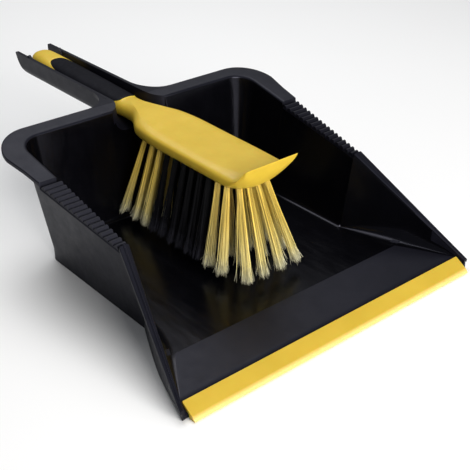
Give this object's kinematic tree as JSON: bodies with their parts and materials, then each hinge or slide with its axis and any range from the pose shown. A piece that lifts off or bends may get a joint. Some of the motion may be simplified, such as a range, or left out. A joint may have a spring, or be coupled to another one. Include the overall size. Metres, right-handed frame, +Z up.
{
  "type": "dust pan and brush set",
  "caption": "Deep dust pan with comb teeth on its side rims, a soft lip and a channel-shaped handle that stores a hand brush with a soft grip.",
  "frame": {"origin": "on the ground under the middle of the set's box", "axes": "+Y from the lip to the handle's end, +X to the right seen from behind the handle, +Z up"},
  "size_m": [0.2934, 0.43, 0.1126],
  "materials": {
    "pan_plastic": "black moulded plastic, glossy inside and satin on the rim",
    "lip_soft": "satin yellow soft strip",
    "brush_plastic": "satin yellow moulded plastic",
    "grip_soft": "matte black soft sleeve",
    "bristle_yellow": "yellow filaments with pale split tips",
    "bristle_black": "black filaments"
  },
  "bodies": {
    "pan": {"pan_body": "pan_plastic", "lip_strip": "lip_soft"},
    "brush": {"brush_body": "brush_plastic", "grip_sleeve": "grip_soft", "tuft_01_1": "bristle_yellow", "tuft_01_2": "bristle_yellow", "tuft_01_3": "bristle_yellow", "tuft_01_4": "bristle_yellow", "tuft_02_1": "bristle_yellow", "tuft_02_2": "bristle_yellow", "tuft_02_3": "bristle_yellow", "tuft_02_4": "bristle_yellow", "tuft_03_1": "bristle_yellow", "tuft_03_2": "bristle_yellow", "tuft_03_3": "bristle_yellow", "tuft_03_4": "bristle_yellow", "tuft_04_1": "bristle_black", "tuft_04_2": "bristle_black", "tuft_04_3": "bristle_black", "tuft_04_4": "bristle_black", "tuft_05_1": "bristle_black", "tuft_05_2": "bristle_black", "tuft_05_3": "bristle_black", "tuft_05_4": "bristle_black", "tuft_06_1": "bristle_black", "tuft_06_2": "bristle_black", "tuft_06_3": "bristle_black", "tuft_06_4": "bristle_black", "tuft_07_1": "bristle_black", "tuft_07_2": "bristle_black", "tuft_07_3": "bristle_black", "tuft_07_4": "bristle_black", "tuft_08_1": "bristle_black", "tuft_08_2": "bristle_black", "tuft_08_3": "bristle_black", "tuft_08_4": "bristle_black", "tuft_09_1": "bristle_black", "tuft_09_2": "bristle_black", "tuft_09_3": "bristle_black", "tuft_09_4": "bristle_black", "tuft_10_1": "bristle_yellow", "tuft_10_2": "bristle_yellow", "tuft_10_3": "bristle_yellow", "tuft_10_4": "bristle_yellow", "tuft_11_1": "bristle_yellow", "tuft_11_2": "bristle_yellow", "tuft_11_3": "bristle_yellow", "tuft_11_4": "bristle_yellow", "tuft_12_1": "bristle_yellow", "tuft_12_2": "bristle_yellow", "tuft_12_3": "bristle_yellow", "tuft_12_4": "bristle_yellow"}
  },
  "joints": [
    {"name": "brush_lift", "type": "slide", "parent": "pan", "child": "brush", "axis": [0, 0, 1], "range_m": [0, 0.14]}
  ]
}
